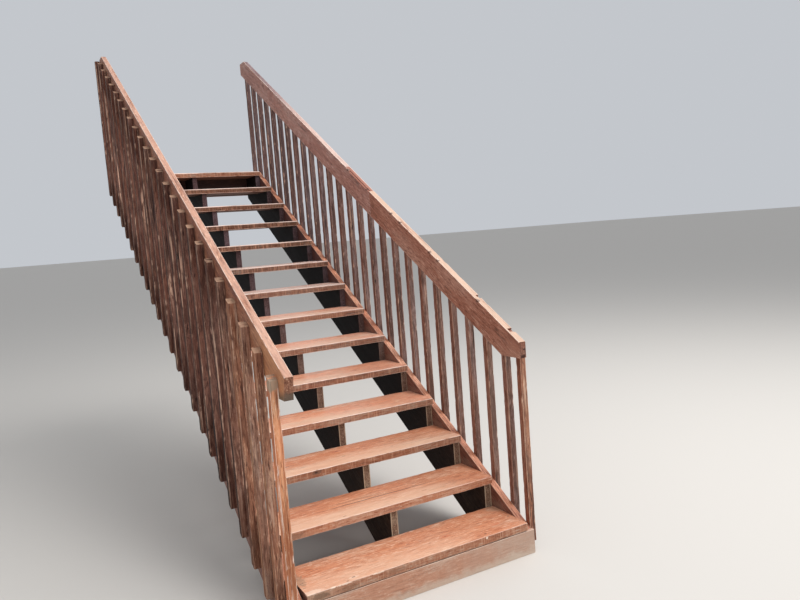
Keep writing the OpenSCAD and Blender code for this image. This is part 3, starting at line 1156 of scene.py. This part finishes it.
def lowerRailMarks(endY):
    # dark ragged lines on the end cut, with a painted shadow over its lower part; brown floors in the
    # notches and a nail
    return [
        mark(1172, endY, 1010, (10, 30, 3.5), (60, 36, 28), 0.9, ragged=1.4),
        mark(1149, endY, 1016, (2.5, 14, 28), (92, 58, 44), 0.75, ragged=1.2),
        mark(1163, endY, 975, (18, 30, 14), endShadow, 1.0, ragged=1.2),
        mark(1168, endY, 992, (9, 20, 2.5), (196, 146, 118), 0.7, ragged=1.0),
        mark(1170, 58, rightRailTop(58) - 10, (18, 13, 8), (140, 86, 70), 0.95, ragged=0.4),
        mark(1170, 74, rightRailTop(74) - 9, (18, 13, 8), (140, 86, 70), 0.95, ragged=0.4),
        mark(1143, 182, 1030, (5, 3.5, 3.5), nailIron, 0.9, ragged=0.2),
    ]


leftRailFades = [
    # fresher low on the outside, grey-green at the end where water stands
    washed(*spanY(330, 60), (216, 156, 110), 0.55, 0.9, waves=(3, 70, 70), way=slopeSides["left"]),
    washed(*spanZ(1036, 1000), (108, 96, 80), 0.85, 0.05, waves=(20, 20, 20),
           limits=[spanY(120, 40)]),
]
for node, plan in railPlan.items():
    low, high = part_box(node)
    onRight = "right" in node
    tops = [(y, rightRailTop(y)) for y in splinters] if onRight else []
    dents = [dict(splinterDent, place=fromCorner(treadLength, y, z)) for y, z in tops]
    marks = [mark(1145, y, z - 5, (16, 18, 10), (84, 52, 42), 0.7, ragged=1.4) for y, z in tops]
    rail = boardLike(node, slopeWay(plan["tilt"]), boardWear, plan["seed"] + 4.0, dents)
    if node == "rail_right_lower":
        for y, x in notches:
            carve(rail, fromCorner(x, y, rightRailTop(y)), notchSize, (0, 0, -notchDepth))
        marks += lowerRailMarks((low.y - frontCorner.y) * 1000)
    if node == "rail_right_upper":
        joint = fromCorner(treadLength, rightRail["joint"], rightRailTop(rightRail["joint"]))
        carve(rail, joint, planed["size"], planed["start"])
    smooth(rail)
    tilt = math.radians(plan["tilt"])
    dress(rail, boardMaterial(
        node + "Wood", plan["look"], *slopePlace(low, high, low.z, plan["tilt"]), plan["seed"],
        [
            # painted highlight on the top face
            painted(slopeSides["top"], plan["top"], plan["topHighlightShare"], limits=plan.get("limits", ())),
            *plan.get("more", ()),
            tinted(slopeSides["under"], *railShade["under"]),
            tinted((-math.sin(tilt), -math.cos(tilt), 0), *railShade["foot"]),
            tinted((-math.cos(tilt), math.sin(tilt), 0), *plan.get("end", railShade["end"])),
        ],
        [] if onRight else leftRailFades, marks,
    ))
    stand(rail, "".join(part.title() for part in node.split("_")), [node])
print("rails made")


# balusters

balusterLook = dict(
    treadLook, Stain=(142, 96, 75), Worn=(170, 124, 100), Pale=(200, 158, 130), Deep=(78, 47, 36),
    Grey=(148, 128, 116), RingGap=0.006, PithDepth=0.14, Sway=0.03, KnotShare=0.25, Fine=1.7,
    WornShare=0.9, PaleShare=0.7, DeepShare=1.0, GreyShare=0.5, RingShare=0.5, DashShare=0.9,
    CrackShare=1.0, StreakShare=0.75, Arris=(214, 176, 152), ArrisShare=0.8, Rough=0.7, Bump=1.0,
    Sheen=0.0,
)
freshLook = dict(
    balusterLook, Stain=(226, 148, 104), Worn=(238, 174, 132), Pale=(250, 212, 180), Deep=(162, 94, 62),
    Grey=(182, 142, 114), Arris=(255, 238, 224), ArrisShare=1.0, Fine=2.6, DeepShare=0.7, Gloss=0.3,
)
tanLook = dict(
    balusterLook, Stain=(154, 98, 72), Worn=(178, 122, 92), Pale=(214, 162, 130), Deep=(78, 44, 33),
    Arris=(236, 198, 170), ArrisShare=1.0,
)
balusterCut = {"cuts": {"across": 5, "through": 5, "along": 80}, "spare": 0.04, "ease": 0.002}
head, front, outside = postSides["head"], postSides["front"], postSides["left"]
balusterPlan = {
    "left": {
        "seed": 20.0, "bow": 0.002, "look": {"Gloss": 0.25},
        "cells": {"start": fromCorner(0, 72, 0).y, "pitch": 0.15839, "vary": 0.25},
        "faces": [
            # heads cut along the slope show paler end grain
            painted(head, (178, 142, 116), 0.8, sawn=True, gaps=(0.35, 0.5)),
            # painted light: warm bounce on the outer sides; painted shade on them further up the run,
            # deepest near their feet
            tinted(outside, 1.12, 0.97, 0.78),
            tinted(outside, 0.62, 0.54, 0.54, limits=[spanY(500, 600)]),
            tinted(outside, 0.40, 0.32, 0.31, limits=[spanY(370, 430), spanZ(900, 640)]),
        ],
        "fades": [shaded(380, 760, (166, 150, 152))],
        "first": freshLook,
        "firstFaces": [
            painted(head, (150, 132, 114), 0.8, sawn=True, gaps=(0.35, 0.5)),
            # painted warm bounce light on the outer side, with painted shade over its upper part
            tinted(outside, 1.2, 1.0, 0.85),
            tinted(outside, 0.62, 0.56, 0.54, limits=[spanZ(620, 860)]),
        ],
        "firstFades": [washed(*spanZ(900, 350), (214, 208, 204), 1.0, blend="MULTIPLY")],
        "firstMarks": [
            # grey head, and a dark knot near the foot
            mark(-74, -26, 1050, (44, 40, 32), (172, 150, 128), 0.9, ragged=1.0),
            mark(-64, -45, 1020, (26, 8, 6), (96, 64, 50), 0.7, ragged=2.0),
            mark(-58, -26, 990, (5, 20, 40), (112, 72, 50), 0.6, ragged=1.4),
            mark(-66, -45, 384, (18, 10, 24), (112, 68, 48), 0.75, ragged=1.4),
            mark(-56, -45, 362, (12, 10, 10), (74, 46, 36), 0.85, ragged=1.2),
        ],
        "wear": {
            "reach": 0.009, "rub": 0.0026, "chip": 0.007, "grain": 0.0009, "lines": 330.0,
            "split": 0.006, "splitFrom": 0.28, "waves": 9.0,
        },
    },
    "right": {
        "seed": 25.0, "bow": 0.002,
        "look": {"Worn": (166, 122, 104), "Pale": (186, 150, 134), "PaleShare": 0.5, "Gloss": 0.3},
        "cells": {"start": fromCorner(0, 86, 0).y, "pitch": 0.15125, "vary": 0.25},
        # darker, greyer fronts; painted shade on the sides that face left
        "faces": [tinted(front, 0.70, 0.75, 0.82), tinted(outside, 0.92, 0.80, 0.78)],
        "fades": [shaded(300, 3000, (184, 184, 200))],
        # painted shade on the first baluster's side that faces left
        "first": tanLook, "firstFaces": [tinted(outside, 0.80, 0.62, 0.58)],
        "firstFades": [], "firstMarks": [],
        "wear": {
            "reach": 0.008, "rub": 0.0020, "chip": 0.006, "grain": 0.0007, "lines": 330.0,
            "split": 0.004, "splitFrom": 0.32, "waves": 11.0,
        },
    },
}


postGap = 0.05  # corners further apart than this up the run are of two balusters
postSlack = {"front": 0.004, "foot": 0.002}
bowRow = (3.3, 0.7)


def islands(node):
    # corners of each baluster of a CAD group, found by its place up the run
    points = [v.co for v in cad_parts[node].data.vertices]
    points.sort(key=lambda p: p.y)
    found = [[points[0]]]
    for a, b in zip(points, points[1:]):
        if b.y - a.y > postGap:
            found.append([])
        found[-1].append(b)
    return found


def shapeBaluster(blank, size, points, plan, seed):
    low = Vector(min(p[axis] for p in points) for axis in range(3))
    high = Vector(max(p[axis] for p in points) for axis in range(3))
    frontTop = max(p.z for p in points if p.y < low.y + postSlack["front"])
    backFoot = min(p.z for p in points if p.y > high.y - postSlack["front"])
    bar = copyBar(blank)
    weather(bar, size, plan["wear"], seed)
    bow = plan["bow"] * noise.noise((seed, *bowRow)) * 2.0
    for vertex in bar.data.vertices:
        vertex.co.y += bow * math.cos(math.pi * vertex.co.x / size.x)
    upright = Euler((0, -math.pi / 2, 0)).to_matrix().to_4x4()
    bar.data.transform(Matrix.Translation((low + high) / 2) @ upright)
    headWay = Vector((0, frontTop - high.z, high.y - low.y)).normalized()
    cutOff(bar, (0, high.y, high.z), headWay)
    footWay = Vector((0, 0, -1))
    if backFoot > low.z + postSlack["foot"]:
        footWay = Vector((0, backFoot - low.z, low.y - high.y)).normalized()
    cutOff(bar, (0, low.y, low.z), footWay)
    return bar


for side, plan in balusterPlan.items():
    nodes = {group: f"balusters_{side}_{group}" for group in ("lower", "middle", "upper")}
    groups = {group: islands(node) for group, node in nodes.items()}
    heights = [spanOf(points, Vector((0, 0, 1))) for found in groups.values() for points in found]
    low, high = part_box(f"balusters_{side}_lower")
    thick = high.x - low.x
    size = Vector((max(b - a for a, b in heights) + balusterCut["spare"], thick, thick))
    blank = startBar(size, balusterCut["cuts"], balusterCut["ease"])
    place = (((low.x + high.x) / 2, 0.0, 0.0), (0, -90, 0))
    look = dict(balusterLook, **plan["look"])
    for number, (group, found) in enumerate(groups.items()):
        seed = plan["seed"] + 31.0 * number
        bars = [
            shapeBaluster(blank, size, points, plan, seed + 2.7 * i) for i, points in enumerate(found)
        ]
        material = boardMaterial(
            nodes[group] + "Wood", look, *place, 43.0 + len(side), plan["faces"], plan["fades"],
            cells=plan["cells"],
        )
        for bar in bars:
            dress(bar, material)
        if group == "lower":
            dress(bars[0], boardMaterial(
                f"balusterFirst{side.title()}Wood", plan["first"], *place, 61.0 + len(side),
                plan["firstFaces"], plan["firstFades"], plan["firstMarks"],
            ))
        whole = joinAll(bars)
        smooth(whole)
        stand(whole, f"balusters{side.title()}{group.title()}", [nodes[group]])
    bpy.data.objects.remove(blank)
print("balusters made")
